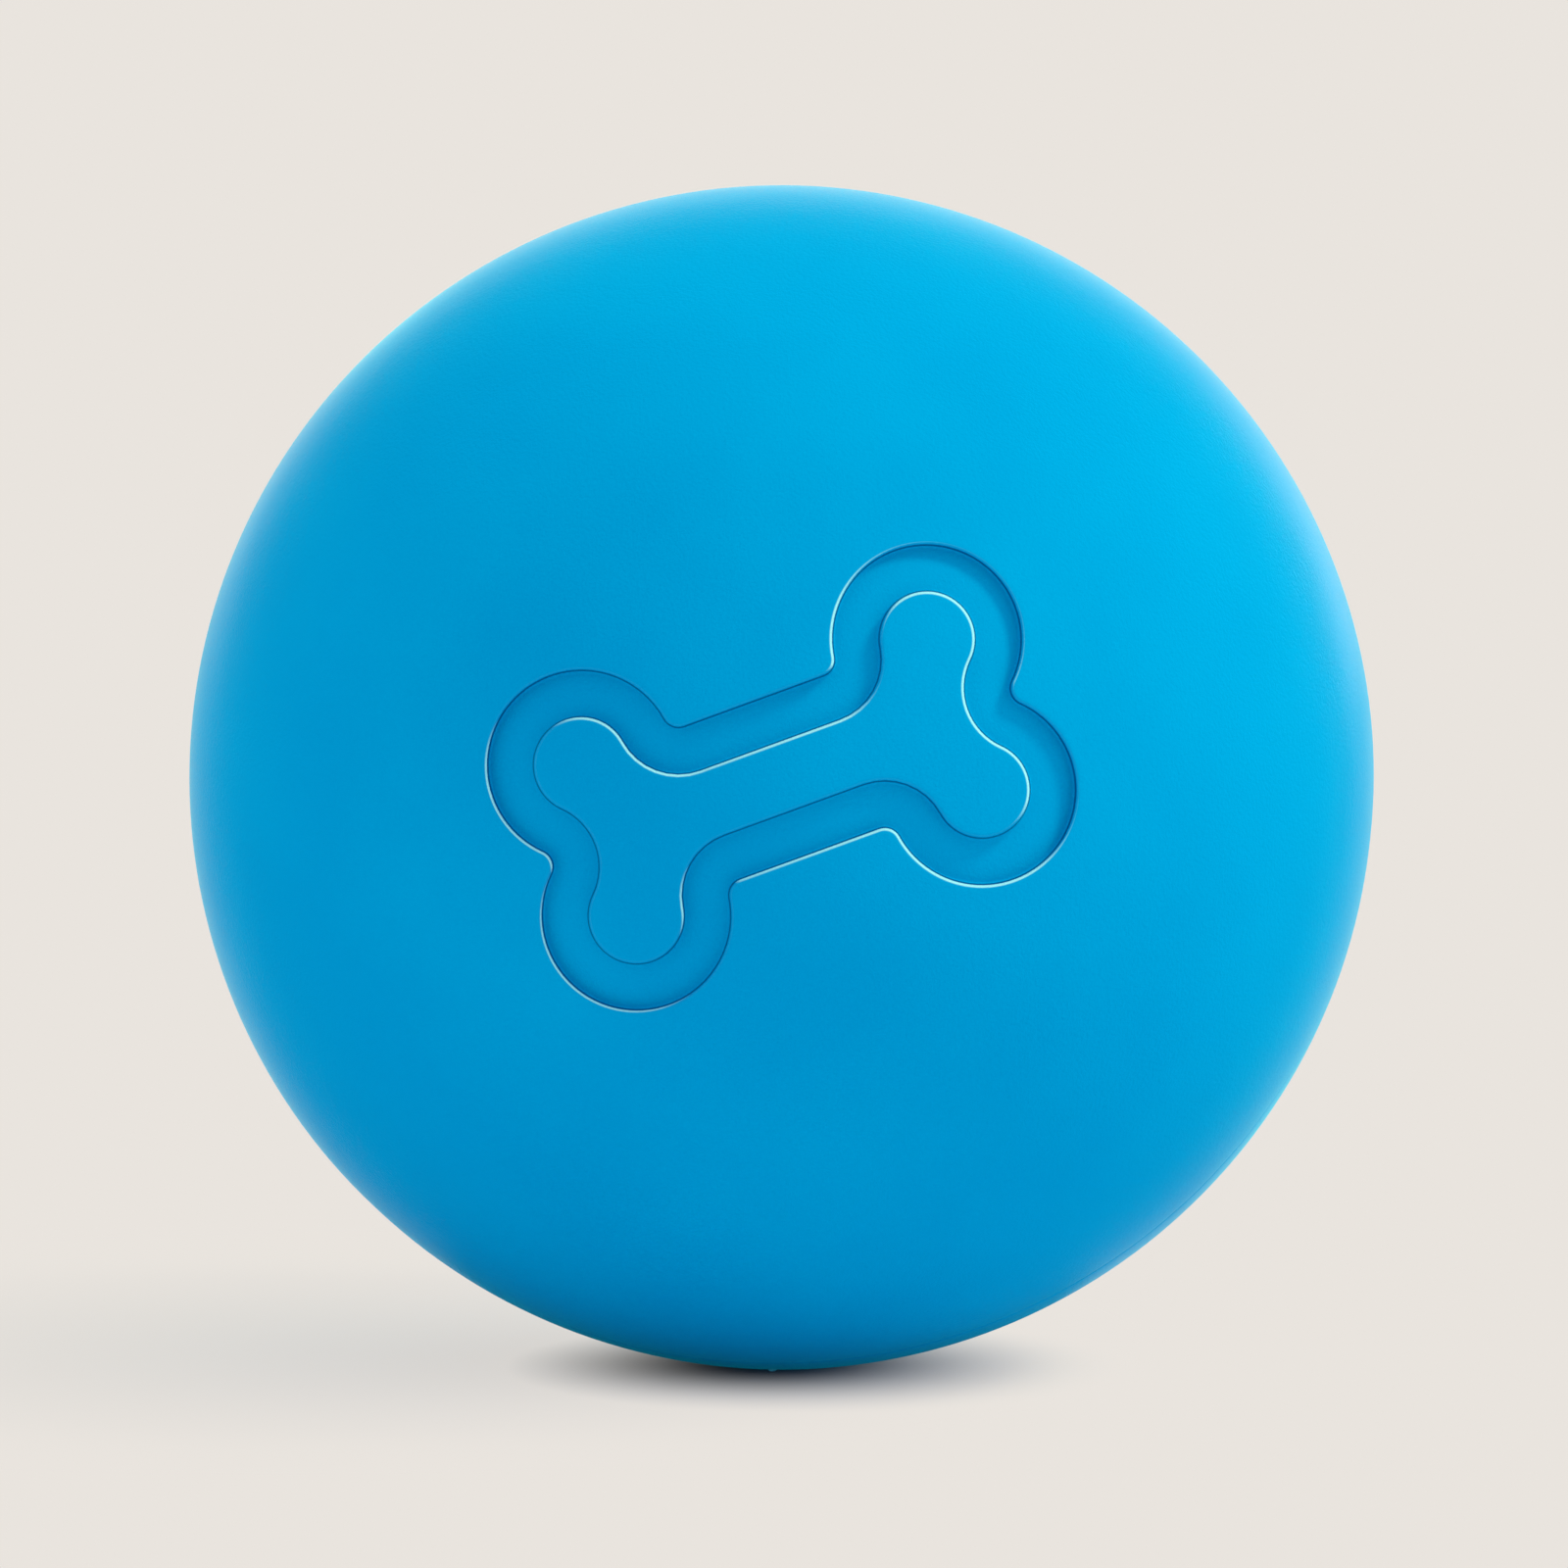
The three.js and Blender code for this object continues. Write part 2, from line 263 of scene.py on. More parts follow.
def seat(piece, node=None, body="ball"):
    """Turns a finished piece into place, parents it to the body it moves with, and hides the packed node it
    stands for.
    """
    piece.data.transform(MOULD)
    piece.data.polygons.foreach_set("use_smooth", [True] * len(piece.data.polygons))
    piece.data.set_sharp_from_angle(angle=CREASE)
    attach(piece, body)
    if node:
        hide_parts(node)
    print(volume(piece))


print("tree helpers are ready")

# %% [markdown]
# ## Blue rubber
#
# The rubber is matt and strongly coloured, with a fine even grain from the mould and a slight
# unevenness of pigment. Head on it mirrors almost nothing, so its index of refraction is just above
# one. Only a narrow rim turns pale, where the skin is seen at a shallow angle: a thin coat of gloss
# grows there with the angle. A light sheen stands for the scatter in the grain itself.
#
# Along the edges of the recess, the rubber comes out smoother and catches the light. Such an edge is
# found from its depth under the ball's skin, and gets the same coat. Its side that faces the lamp is
# painted paler, a painted highlight, and the wall below it is painted darker, a painted shade.
#
# All patterns read Object coordinates in metres, so their sizes are real: a noise of scale 1000 has
# features of about a millimetre.

# %% A helper that starts a material
def new_material(name, colour, roughness):
    """A material with its node tree, its main shader and the object coordinates."""
    made = bpy.data.materials.new(name)
    made.use_nodes = True
    tree = made.node_tree
    shader = tree.nodes["Principled BSDF"]
    shader.inputs["Base Color"].default_value = (*colour, 1)
    shader.inputs["Roughness"].default_value = roughness
    made.diffuse_color = (*colour, 1)
    place = add(tree, "ShaderNodeTexCoord", out="Object")
    return made, tree, shader, place


def noise(tree, place, scale, detail=2.0, roughness=0.5):
    """A noise pattern, as a number from 0 to 1."""
    inputs = {"Vector": place, "Scale": scale, "Detail": detail, "Roughness": roughness}
    return add(tree, "ShaderNodeTexNoise", inputs)


def spread(tree, value, low, high, start=0.0, stop=1.0, kind="LINEAR"):
    """Moves a number from the range start to stop into the range low to high."""
    inputs = {"Value": value, "From Min": start, "From Max": stop, "To Min": low, "To Max": high}
    return add(tree, "ShaderNodeMapRange", inputs, interpolation_type=kind)


def bump(tree, height, distance, below=None):
    """A bump of a real height in metres, on top of another bump if there is one."""
    inputs = {"Height": height, "Distance": distance, "Strength": 1.0}
    if below is not None:
        inputs["Normal"] = below
    return add(tree, "ShaderNodeBump", inputs)


def mix_colours(tree, factor, first, second):
    """A colour between two others, by a factor. Each is three numbers or another node's colour."""
    first, second = (c if isinstance(c, bpy.types.NodeSocket) else (*c, 1) for c in (first, second))
    inputs = {"Factor": factor, 6: first, 7: second}
    return add(tree, "ShaderNodeMix", inputs, out=2, data_type="RGBA")


print("material helpers are ready")

# %% The blue rubber itself
RUBBER_BLUE = (0.0, 0.41, 0.78)
RUBBER_DEEP = (0.0, 0.38, 0.75)
# Painted shade: a darker blue painted on the recess walls, where shade falls
PAINTED_WALL_SHADE = (0.0, 0.13, 0.34)
# Painted highlight: a paler blue painted on the edges that face the lamp, chosen by the way they face
PAINTED_HIGHLIGHT_BLUE = (0.4, 0.95, 1.0)
PAINTED_HIGHLIGHT_WAY = Vector((0.62, -0.1, 0.78))
PAINTED_HIGHLIGHT_TURN = (0.16, 0.48)
GRAIN_HEIGHT = 0.035 * MM
RIPPLE_HEIGHT = 0.02 * MM
EDGE_GLOSS = 0.4
RIM_GLOSS = 0.52
RIM_TURN = (0.71, 0.89)

# Depths under the skin, and the distance from the seam within which the masks stay off
EDGE_TOP = 0.01 * MM
EDGE_FOOT = 0.19 * MM
WALL_TOP = 0.14 * MM
WALL_FOOT = 0.6 * MM
SEAM_KEEP = 5 * MM


def dot(tree, vector, way):
    """How far a vector reaches along a fixed way."""
    inputs = {0: vector, 1: way.normalized()}
    return add(tree, "ShaderNodeVectorMath", inputs, out="Value", operation="DOT_PRODUCT")


def between(tree, value, low, high, soft):
    """One where a number lies between two others, with soft ends, and zero elsewhere."""
    rise = spread(tree, value, 0, 1, low, low + soft)
    return times(tree, rise, spread(tree, value, 1, 0, high - soft, high))


def edge_masks(tree, place):
    """Where the recess has its edges, their upward sides (painted highlight) and its walls (painted shade),
    away from the seam.
    """
    radius = add(tree, "ShaderNodeVectorMath", {0: place}, out="Value", operation="LENGTH")
    depth = math_node(tree, "SUBTRACT", BALL_RADIUS, radius)
    away = spread(tree, dot(tree, place, -MOULD.col[1].xyz), 0, 1, SEAM_KEEP, 2 * SEAM_KEEP)
    edge = times(tree, between(tree, depth, EDGE_TOP, EDGE_FOOT, 0.03 * MM), away)
    # Painted highlight: how far an edge faces the lamp sets how much paler it is painted
    facing = dot(tree, add(tree, "ShaderNodeTexCoord", out="Normal"), PAINTED_HIGHLIGHT_WAY)
    upward = times(tree, spread(tree, facing, 0, 1, *PAINTED_HIGHLIGHT_TURN), edge)
    # Painted shade: the recess walls, which are painted darker
    wall = times(tree, between(tree, depth, WALL_TOP, WALL_FOOT, 0.05 * MM), away)
    return edge, upward, wall


def blue_rubber():
    """Matt moulded rubber with a fine grain, a soft unevenness, smoother edges with a painted highlight,
    and painted shade on the walls.
    """
    made, tree, shader, place = new_material("moulded_blue_rubber", RUBBER_BLUE, 0.18)
    cloud = noise(tree, place, 70, 3)
    grain = noise(tree, place, 5000, 3, 0.65)
    ripple = noise(tree, place, 420, 2)
    edge, upward, wall = edge_masks(tree, place)
    pigment_and_painted_shade = mix_colours(tree, spread(tree, cloud, 0, 1, 0.35, 0.65), RUBBER_DEEP, RUBBER_BLUE)
    # Painted shade: the walls take the darker blue on top of the pigment
    pigment_and_painted_shade = mix_colours(tree, wall, pigment_and_painted_shade, PAINTED_WALL_SHADE)
    grained = bump(tree, grain, GRAIN_HEIGHT, bump(tree, ripple, RIPPLE_HEIGHT))
    aside = add(tree, "ShaderNodeLayerWeight", {"Blend": 0.5, "Normal": grained}, out="Facing")
    rim = spread(tree, aside, 0, RIM_GLOSS, *RIM_TURN)
    feed(tree, shader, {
        # Painted highlight: the edges that face the lamp take the paler blue
        "Base Color": mix_colours(tree, upward, pigment_and_painted_shade, PAINTED_HIGHLIGHT_BLUE),
        "Roughness": spread(tree, grain, 0.14, 0.22, 0.3, 0.7),
        "Normal": grained,
        "IOR": 1.015,
        "Coat Weight": math_node(tree, "MAXIMUM", times(tree, edge, EDGE_GLOSS), rim),
        "Coat Roughness": 0.3,
        "Coat IOR": 1.3,
        "Sheen Weight": 0.45,
        "Sheen Roughness": 0.28,
        "Sheen Tint": (0.0, 0.85, 0.95, 1),
    })
    return made


RUBBER = blue_rubber()
print("made", RUBBER.name)

# %% [markdown]
# ## Other finishes
#
# The cement cures to a darker, slightly glossier line. Where the mould's leftovers were torn off the
# seam, the rubber is paler and rougher. The squeaker is moulded in white plastic with a satin skin.
# The reed is thin rolled brass, so its scratches run one way, along the strip.

# %% Cement, torn rubber, plastic and brass
def lumpy(name, colour, roughness, scale, height, hollows, tops):
    """A finish with small lumps, whose colour goes with their height."""
    made, tree, shader, place = new_material(name, colour, roughness)
    lumps = noise(tree, place, scale, 2)
    shades = mix_colours(tree, lumps, hollows, tops)
    feed(tree, shader, {"Base Color": shades, "Normal": bump(tree, lumps, height)})
    return made


def white_plastic():
    """Satin moulded plastic, off white, with a faint grain."""
    made, tree, shader, place = new_material("satin_white_plastic", (0.82, 0.81, 0.77), 0.42)
    grain = noise(tree, place, 2600, 2)
    cloud = noise(tree, place, 160, 2)
    feed(tree, shader, {
        "Base Color": mix_colours(tree, cloud, (0.78, 0.77, 0.72), (0.85, 0.84, 0.81)),
        "Roughness": spread(tree, grain, 0.36, 0.5, 0.3, 0.7),
        "Normal": bump(tree, grain, 0.006 * MM),
    })
    return made


def rolled_brass():
    """Thin brass strip. A noise stretched along the strip makes the rolling marks."""
    made, tree, shader, place = new_material("rolled_brass", (0.78, 0.56, 0.2), 0.26)
    turn = {"Vector": place, "Rotation": MOULD.inverted().to_euler()}
    along = add(tree, "ShaderNodeMapping", turn)
    drawn = add(tree, "ShaderNodeMapping", {"Vector": along, "Scale": (1, 0.04, 1)})
    marks = noise(tree, drawn, 9000, 2)
    tarnish = spread(tree, noise(tree, place, 600, 3), 0, 1, 0.4, 0.7)
    feed(tree, shader, {
        "Base Color": mix_colours(tree, tarnish, (0.8, 0.6, 0.24), (0.62, 0.42, 0.15)),
        "Metallic": 1,
        "Roughness": spread(tree, marks, 0.2, 0.36, 0.3, 0.7),
        "Normal": bump(tree, marks, 0.003 * MM),
    })
    return made


DARK_LUMPS = ((0.0, 0.1, 0.23), (0.0, 0.18, 0.37))
PALE_LUMPS = ((0.0, 0.45, 0.66), (0.12, 0.66, 0.78))
CEMENTED = lumpy("cement_line", (0.0, 0.14, 0.3), 0.45, 900, 0.04 * MM, *DARK_LUMPS)
TORN = lumpy("torn_rubber", (0.06, 0.56, 0.72), 0.6, 9000, 0.02 * MM, *PALE_LUMPS)
PLASTIC, BRASS = white_plastic(), rolled_brass()
print("made", CEMENTED.name, TORN.name, PLASTIC.name, BRASS.name)

# %% [markdown]
# ## A tree that revolves a section
#
# The rear half, the cement ring, the squeaker's cup and its cap are all revolves, so one tree makes
# them. Spin in mesh code would do it too, but a tree shows the rule in one place: a grid has one row
# for each point of the section and one column for each step round the axis, and each grid point is
# moved to where its row and column say. The first and last columns fall on each other, and so do all
# the points of a row on the axis, so a merge closes the seam and the poles.

# %% Build the revolving tree
WELD = 0.001 * MM


def revolving_tree():
    """Turns the points of a section, drawn as radius and height, once round the Y axis."""
    tree, given, made = new_tree("revolve_section", Int=["Steps round"])
    count = add(tree, "GeometryNodeAttributeDomainSize", {"Geometry": given["Geometry"]})
    columns = math_node(tree, "ADD", given["Steps round"], 1)
    grid = add(tree, "GeometryNodeMeshGrid", {"Vertices X": count, "Vertices Y": columns})
    index = add(tree, "GeometryNodeInputIndex")
    row = math_node(tree, "FLOOR", math_node(tree, "DIVIDE", index, columns))
    column = math_node(tree, "SUBTRACT", index, times(tree, row, columns))
    position = add(tree, "GeometryNodeInputPosition")
    sampled = {"Geometry": given["Geometry"], "Value": position, "Index": row}
    section = add(tree, "GeometryNodeSampleIndex", sampled, data_type="FLOAT_VECTOR")
    point = add(tree, "ShaderNodeSeparateXYZ", {0: section}).node.outputs
    angle = times(tree, math_node(tree, "DIVIDE", column, given["Steps round"]), math.tau)
    across, upward = turned(tree, point["X"], angle)
    place = {"Geometry": grid, "Position": vector(tree, across, point["Y"], upward)}
    round_grid = add(tree, "GeometryNodeSetPosition", place)
    weld = {"Geometry": round_grid, "Distance": WELD}
    closed = add(tree, "GeometryNodeMergeByDistance", weld)
    finish_tree(tree, closed, given, made)
    return tree


REVOLVE = revolving_tree()


def revolved(name, outline, finish, steps=192):
    """A piece revolved from a closed outline of radius and height."""
    points = round_corners(outline)
    piece = mesh_object(name, [(r, y, 0) for r, y in points + points[:1]])
    return grow(piece, REVOLVE, {"Steps round": steps, "Finish": finish})


print("revolving tree has", len(REVOLVE.nodes), "nodes")

# %% [markdown]
# ## The rear half
#
# Its section runs along the outer skin from the seam to the vent, round the vent's mouth, and back
# through the pocket that grips the squeaker, the collar round it and the inner face. The two halves
# never meet quite flush: here the rear skin starts a little low at the seam and soon joins the ball.
# A small chamfer on each rim leaves room for the cement that is squeezed out.

# %% Draw and revolve the rear half
VENT_RADIUS = 2.9 * MM
MOUTH_ROUND = 0.9 * MM
COLLAR = 2.8 * MM
LIP = 1.4 * MM
LIP_GRIP = 1.1 * MM
LIP_LEAD = 0.7 * MM
ROOT_ROUND = 2 * MM
SEAM_CHAMFER = 0.16 * MM
CHAMFER_ROUND = 0.06 * MM
SEAM_STEP = 0.06 * MM
SEAM_FADE = math.radians(4)
SKIN_STEPS = 72
ROUND_STEPS = 240


def rear_skin(angle):
    """A point of the rear skin, at an angle from the seam."""
    radius = BALL_RADIUS - SEAM_STEP * math.exp(-angle / SEAM_FADE)
    return radius * math.cos(angle), radius * math.sin(angle)


def rear_outline():
    """Half of the rear half's section, from the seam up the outer skin and back inside."""
    start = math.asin((half_cement + SEAM_CHAMFER) / BALL_RADIUS)
    mouth_x = VENT_RADIUS + MOUTH_ROUND
    mouth_turn = math.acos(mouth_x / (BALL_RADIUS - MOUTH_ROUND))
    mouth_y = (BALL_RADIUS - MOUTH_ROUND) * math.sin(mouth_turn)
    skin = [rear_skin(start + (mouth_turn - start) * i / SKIN_STEPS) for i in range(SKIN_STEPS + 1)]
    lip_y = squeaker_inner - RUBBER_FIT
    lip_x = SQUEAKER_RADIUS - LIP_GRIP
    collar_x = pocket_radius + COLLAR
    root_x = collar_x + ROOT_ROUND
    root_turn = math.acos(root_x / (inner_radius - ROOT_ROUND))
    root_y = (inner_radius - ROOT_ROUND) * math.sin(root_turn)
    return [
        (skin[0][0] - SEAM_CHAMFER, half_cement, CHAMFER_ROUND),
        (*skin[0], CHAMFER_ROUND),
        *skin[1:-1],
        *arc(mouth_x, mouth_y, MOUTH_ROUND, mouth_turn, math.pi, 10),
        (VENT_RADIUS, pocket_floor, 0.2 * MM),
        (pocket_radius, pocket_floor, 0.3 * MM),
        (pocket_radius, lip_y, 0.2 * MM),
        (lip_x, lip_y, 0.2 * MM),
        (lip_x + LIP_LEAD, lip_y - LIP, 0.4 * MM),
        (collar_x, lip_y - LIP, 0.6 * MM),
        *arc(root_x, root_y, ROOT_ROUND, math.pi, root_turn, 10),
        *arc(0, 0, inner_radius, root_turn, math.asin(half_cement / inner_radius), 40)[1:-1],
        (inner_radius, half_cement, CHAMFER_ROUND),
        (tongue_inner - CEMENT, half_cement, 0.1 * MM),
        (tongue_inner - CEMENT, TONGUE_HEIGHT + half_cement, 0.15 * MM),
        (tongue_outer + CEMENT, TONGUE_HEIGHT + half_cement, 0.15 * MM),
        (tongue_outer + CEMENT, half_cement, 0.1 * MM),
    ]


rear_half = revolved("rear_half_moulded", rear_outline(), RUBBER, steps=ROUND_STEPS)
seat(rear_half, "rear_half_shell")

# %% [markdown]
# ## The front half: an outline with room for an even band
#
# The front half carries the one decoration, a bone drawn as an even band pressed into the skin. Its
# outline is made only of arcs that meet smoothly. Moving such an outline inwards just takes from the
# radius of each outer arc and adds to that of each hollow one, so copies at any inset have the same
# number of points and can be joined point by point.

# %% Draw the bone at any inset
LOBE_RADIUS = 4.9 * MM
LOBE_ALONG = 9.4 * MM
LOBE_ACROSS = 4.1 * MM
SHAFT_HALF_WIDTH = 4.2 * MM
HOLLOW_ROUND = 0.8 * MM
BONE_ROLL = math.radians(20)
BONE_UP = math.radians(5)
HOLLOW_STEPS = 8
LOBE_STEPS = 56
SHAFT_STEPS = 14


def bone_outline(inset):
    """The bone's outline, moved inwards by an inset, with its long axis along X."""
    lobe, hollow = LOBE_RADIUS - inset, HOLLOW_ROUND + inset
    reach = LOBE_RADIUS + HOLLOW_ROUND
    notch_x = LOBE_ALONG + math.sqrt(reach**2 - LOBE_ACROSS**2)
    neck_y = SHAFT_HALF_WIDTH + HOLLOW_ROUND
    neck_x = LOBE_ALONG - math.sqrt(reach**2 - (neck_y - LOBE_ACROSS) ** 2)
    to_notch = math.atan2(-LOBE_ACROSS, notch_x - LOBE_ALONG)
    to_neck = math.atan2(neck_y - LOBE_ACROSS, neck_x - LOBE_ALONG)
    quarter = arc(notch_x, 0, hollow, math.pi, to_notch + math.pi, HOLLOW_STEPS)
    quarter += arc(LOBE_ALONG, LOBE_ACROSS, lobe, to_notch, to_neck, LOBE_STEPS)[1:]
    quarter += arc(neck_x, neck_y, hollow, to_neck - math.pi, -math.pi / 2, HOLLOW_STEPS)[1:]
    shaft = [neck_x * (1 - i / SHAFT_STEPS) for i in range(1, SHAFT_STEPS + 1)]
    quarter += [(x, SHAFT_HALF_WIDTH - inset) for x in shaft]
    back = quarter[::-1]
    outline = quarter + [(-x, y) for x, y in back[1:]]
    outline += [(-x, -y) for x, y in quarter[1:]] + [(x, -y) for x, y in back[1:-1]]
    return [tuple(Matrix.Rotation(BONE_ROLL, 2) @ Vector(point)) for point in outline]


print("each outline has", len(bone_outline(0)), "points")

# %% [markdown]
# ## Pressing the band into the skin
#
# Cutting the band with a boolean would leave knife-sharp edges. Instead the band is lofted: its
# profile is drawn once as inset and depth, with a rounded edge, a wall with a little draft for the
# mould, and a rounded foot, and each point of that profile becomes one copy of the outline. Every
# copy is laid on a ball that is smaller by its depth, so the band is equally deep everywhere.

# %% Loft the band
BAND_WIDTH = 2.5 * MM
BAND_DEPTH = 0.7 * MM
EDGE_ROUND = 0.22 * MM
FOOT_ROUND = 0.12 * MM
DRAFT = 0.13 * MM
BAND_MARGIN = 0.4 * MM
FLOOR_POINTS = 3


def band_profile():
    """Inset and depth across the band, from the skin outside it to the island inside it."""
    floor_from, floor_to = DRAFT, BAND_WIDTH - DRAFT
    shares = [(i + 1) / (FLOOR_POINTS + 1) for i in range(FLOOR_POINTS)]
    floor = [floor_from + (floor_to - floor_from) * share for share in shares]
    return round_corners([
        (-BAND_MARGIN, 0),
        (0, 0, EDGE_ROUND),
        (floor_from, BAND_DEPTH, FOOT_ROUND),
        *[(inset, BAND_DEPTH) for inset in floor],
        (floor_to, BAND_DEPTH, FOOT_ROUND),
        (BAND_WIDTH, 0, EDGE_ROUND),
        (BAND_WIDTH + BAND_MARGIN, 0),
    ])


def on_ball(x, y, depth=0.0):
    """A point of the bone's own drawing plane, laid on the ball at a depth under its skin."""
    return Vector((x, y, math.sqrt((BALL_RADIUS - depth) ** 2 - x * x - y * y)))


def loft(rings, closed=True):
    """Quads between rings that have the same number of points, numbered ring by ring."""
    count = len(rings[0])
    steps = count if closed else count - 1
    quads = []
    for ring in range(len(rings) - 1):
        for i in range(steps):
            here, there = ring * count + i, ring * count + (i + 1) % count
            quads.append((here, there, there + count, here + count))
    return quads


band_rings = [[on_ball(x, y, depth) for x, y in bone_outline(inset)] for inset, depth in band_profile()]
band_faces = loft(band_rings)
print("band:", len(band_rings), "rings,", len(band_faces), "faces")

# %% [markdown]
# ## Skin round the band
#
# The skin between the band and a circle round it, and the island inside the band, have no rings to
# follow. They are filled with even triangles: points on a hexagonal grid, joined by a constrained
# Delaunay triangulation that keeps the outlines as edges. Even triangles keep the smooth shading of
# the ball calm, where long thin ones would show.

# %% Fill the skin with even triangles
PATCH_RADIUS = 19.5 * MM
GRID = 0.6 * MM
GRID_MARGIN = 0.36 * MM


def inside(points, loop):
    """Which points lie inside a closed loop, by counting the edges to the right of each."""
    x, y = points[:, 0:1], points[:, 1:2]
    start, stop = loop, np.roll(loop, -1, axis=0)
    rise = stop[:, 1] - start[:, 1]
    crosses = (start[:, 1] > y) != (stop[:, 1] > y)
    level = np.where(rise == 0, 1, rise)
    meets = start[:, 0] + (stop[:, 0] - start[:, 0]) * (y - start[:, 1]) / level
    return np.sum(crosses & (x < meets), axis=1) % 2 == 1


def hexagonal_grid(reach, pitch):
    """Points of a hexagonal grid that lie within a circle."""
    rows = int(reach / (pitch * math.sqrt(0.75))) + 1
    columns = int(reach / pitch) + 1
    points = []
    for row in range(-rows, rows + 1):
        for column in range(-columns, columns + 1):
            points.append(((column + 0.5 * (row % 2)) * pitch, row * pitch * math.sqrt(0.75)))
    points = np.array(points)
    return points[np.hypot(*points.T) < reach]


def fill_skin():
    """Vertices and triangles of the skin outside and inside the band."""
    patch = np.array(arc(0, 0, PATCH_RADIUS, 0, math.tau, ROUND_STEPS)[:-1])
    outer = np.array(bone_outline(-BAND_MARGIN))
    island = np.array(bone_outline(BAND_WIDTH + BAND_MARGIN))
    loops = [patch, outer, island]
    edges, rim = [], np.concatenate(loops)
    for loop in loops:
        first = len(edges)
        edges += [(first + i, first + (i + 1) % len(loop)) for i in range(len(loop))]
    grid = hexagonal_grid(PATCH_RADIUS, GRID)
    clear = np.array([np.min(np.hypot(*(rim - point).T)) > GRID_MARGIN for point in grid])
    free = grid[clear & (~inside(grid, outer) | inside(grid, island))]
    points = [Vector(point) / MM for point in np.concatenate([rim, free])]
    made = delaunay_2d_cdt(points, edges, [], 1, 1e-6)
    corners = np.array([tuple(point) for point in made[0]]) * MM
    centres = np.array([corners[list(face)].mean(axis=0) for face in made[2]])
    kept = ~inside(centres, outer) | inside(centres, island)
    faces = [tuple(face) for face, keep in zip(made[2], kept) if keep]
    return [on_ball(x, y) for x, y in corners], faces


skin_points, skin_faces = fill_skin()
print("skin:", len(skin_points), "points,", len(skin_faces), "triangles")

# %% [markdown]
# ## Closing the front half
#
# From the circle, rings spread over the ball to the seam. Each of their points follows a great
# circle away from the bone's middle, so the mesh never twists, though the bone and the moulding axis
# point different ways. At the seam the skin rolls over a small round onto the land, the tongue
# stands up from it, and the inner face closes at its pole.

# %% Build the front half as one closed mesh
SKIN_RINGS = 56
INNER_RINGS = 40
BONE_TO_MOULD = MOULD.inverted() @ Matrix.Rotation(math.radians(90) - BONE_UP, 4, "X")


def front_tail():
    """Radius and height from the last of the outer skin, over the tongue, to near the inner pole."""
    turn = math.asin((half_cement + SEAM_CHAMFER) / BALL_RADIUS)
    inner_turn = math.asin(half_cement / inner_radius)
    skin = [(BALL_RADIUS * math.cos(a), -BALL_RADIUS * math.sin(a)) for a in (2 * turn, turn)]
    outline = [
        skin[0],
        (*skin[1], CHAMFER_ROUND),
        (BALL_RADIUS - SEAM_CHAMFER, -half_cement, CHAMFER_ROUND),
        (tongue_outer, -half_cement, 0.1 * MM),
        (tongue_outer, TONGUE_HEIGHT - half_cement, 0.25 * MM),
        (tongue_inner, TONGUE_HEIGHT - half_cement, 0.25 * MM),
        (tongue_inner, -half_cement, 0.1 * MM),
        (inner_radius, -half_cement, CHAMFER_ROUND),
        *arc(0, 0, inner_radius, -3 * inner_turn, -math.pi / 2, INNER_RINGS)[:-1],
    ]
    return round_corners(outline)[1:]


def front_rings():
    """Rings of the front half outside the circle: over the skin, the tongue and the inner face."""
    tail, turn = front_tail(), BONE_TO_MOULD.to_3x3()
    middle = (turn @ Vector((0, 0, 1))).normalized()
    spokes, start = [], math.asin(PATCH_RADIUS / BALL_RADIUS)
    for x, y in arc(0, 0, 1, 0, math.tau, ROUND_STEPS)[:-1]:
        away = turn @ Vector((x, y, 0))
        reach = math.hypot(middle.y, away.y)
        stop = math.atan2(away.y, middle.y) % math.tau - math.acos(tail[0][1] / BALL_RADIUS / reach)
        spokes.append((away, stop))
    rings = []
    for ring in range(SKIN_RINGS + 1):
        turns = [start + (stop - start) * ring / SKIN_RINGS for away, stop in spokes]
        around = zip(spokes, turns)
        rings.append([BALL_RADIUS * (middle * math.cos(a) + away * math.sin(a)) for (away, _), a in around])
    rims = [Vector((point.x, 0, point.z)).normalized() for point in rings[-1]]
    return rings + [[rim * r + Vector((0, y, 0)) for rim in rims] for r, y in tail[1:]]


def joined(name, parts, finish):
    """One closed mesh from several lists of points and faces, welded where they touch."""
    points, faces = [], []
    for part_points, part_faces in parts:
        faces += [tuple(len(points) + i for i in face) for face in part_faces]
        points += part_points
    piece = mesh_object(name, points, faces)
    shape = bmesh.new()
    shape.from_mesh(piece.data)
    bmesh.ops.remove_doubles(shape, verts=shape.verts, dist=0.002 * MM)
    bmesh.ops.recalc_face_normals(shape, faces=shape.faces)
    shape.to_mesh(piece.data)
    shape.free()
    piece.data.materials.append(finish)
    return piece


def front_half():
    """The whole front half: the patch with the band, the rings outside it, and the inner pole."""
    band = [BONE_TO_MOULD @ point for ring in band_rings for point in ring]
    skin = [BONE_TO_MOULD @ point for point in skin_points]
    rings = front_rings()
    last = [point for ring in rings for point in ring]
    pole = Vector((0, -inner_radius, 0))
    fan = [(i, (i + 1) % ROUND_STEPS, ROUND_STEPS) for i in range(ROUND_STEPS)]
    parts = [(band, band_faces), (skin, skin_faces), (last, loft(rings)), (rings[-1] + [pole], fan)]
    return joined("front_half_moulded", parts, RUBBER)


seat(front_half(), "front_half_shell")

# %% [markdown]
# ## The cement line
#
# Rubber cement fills the step between the halves and the small chamfers where they meet the skin.
# It was trimmed flush and has shrunk a little as it cured, so the parting line is a narrow dark band
# with a hollow face.

# %% Revolve the cement
CEMENT_SUNK = 0.03 * MM
CEMENT_HOLLOW = 0.1 * MM

